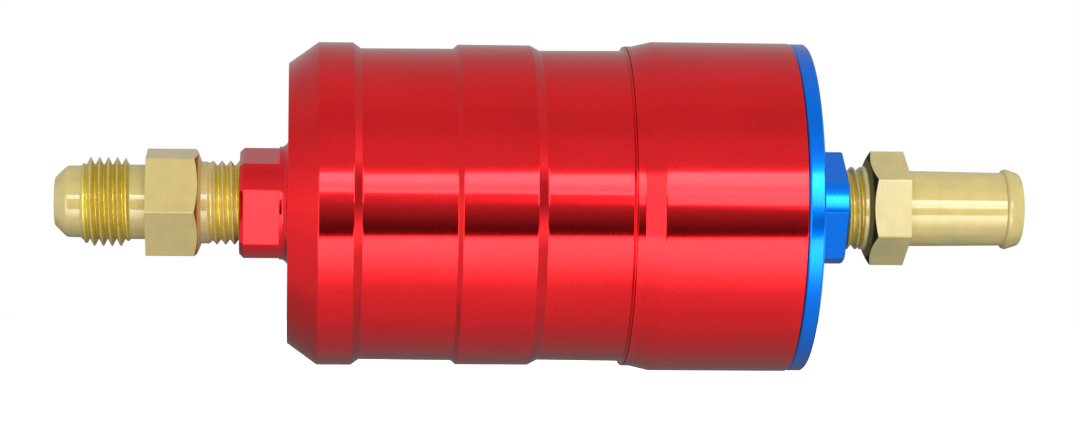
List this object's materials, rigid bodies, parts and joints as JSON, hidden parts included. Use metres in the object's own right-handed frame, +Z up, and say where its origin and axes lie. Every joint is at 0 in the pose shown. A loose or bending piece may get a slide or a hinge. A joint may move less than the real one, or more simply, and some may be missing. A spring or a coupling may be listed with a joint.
{
  "type": "fuel filter",
  "caption": "Round in-line fuel filter with a stepped red anodised housing, a blue anodised end cap, a brass flare inlet and a brass hose outlet.",
  "frame": {"origin": "on the axis, half way along the overall length", "axes": "+X along the flow, from the flare inlet to the hose outlet; +Z up"},
  "size_m": [0.1564, 0.0532, 0.0534],
  "materials": {
    "red_anodised": "turned aluminium, bright red anodised",
    "blue_anodised": "turned aluminium, bright blue anodised",
    "machined_brass": "machined, satin",
    "seal_rubber": "moulded fluoroelastomer",
    "stainless_steel": "pressed and punched sheet",
    "spring_steel": "drawn wire",
    "filter_paper": "pleated resin-treated cellulose"
  },
  "bodies": {
    "sleeve": {"outlet_sleeve": "red_anodised"},
    "housing_seal": {"housing_o_ring": "seal_rubber"},
    "housing": {"inlet_housing": "red_anodised", "inlet_fitting": "machined_brass", "spring_seat": "stainless_steel", "element_spring": "spring_steel"},
    "cap_seal": {"cap_o_ring": "seal_rubber"},
    "cap": {"end_cap": "blue_anodised", "outlet_fitting": "machined_brass", "element_o_ring": "seal_rubber"},
    "element": {"element_inlet_cap": "stainless_steel", "element_outlet_cap": "stainless_steel", "core_tube": "stainless_steel", "core_screen": "stainless_steel", "filter_media": "filter_paper", "seam_clip": "stainless_steel", "outer_guard": "stainless_steel"}
  },
  "joints": [
    {"name": "housing_travel", "type": "slide", "parent": "sleeve", "child": "housing_seal", "axis": [-1, 0, 0], "range_m": [0, 0.0106]},
    {"name": "housing_unscrew", "type": "hinge", "parent": "housing_seal", "child": "housing", "pos_m": [0, 0, 0], "axis": [-1, 0, 0], "range_deg": [0, 2520]},
    {"name": "cap_travel", "type": "slide", "parent": "sleeve", "child": "cap_seal", "axis": [1, 0, 0], "range_m": [0, 0.0091]},
    {"name": "cap_unscrew", "type": "hinge", "parent": "cap_seal", "child": "cap", "pos_m": [0.04, 0, 0], "axis": [1, 0, 0], "range_deg": [0, 2160]},
    {"name": "element_lift", "type": "slide", "parent": "cap_seal", "child": "element", "axis": [-1, 0, 0], "range_m": [0, 0.003], "stiffness_N_per_m": 1500, "springref_m": -0.004, "deforming": ["element_spring"]}
  ],
  "couplings": [
    {"joint": "housing_travel", "follows": "housing_unscrew", "m_per_rad": 0.00023873},
    {"joint": "cap_travel", "follows": "cap_unscrew", "m_per_rad": 0.00023873}
  ]
}
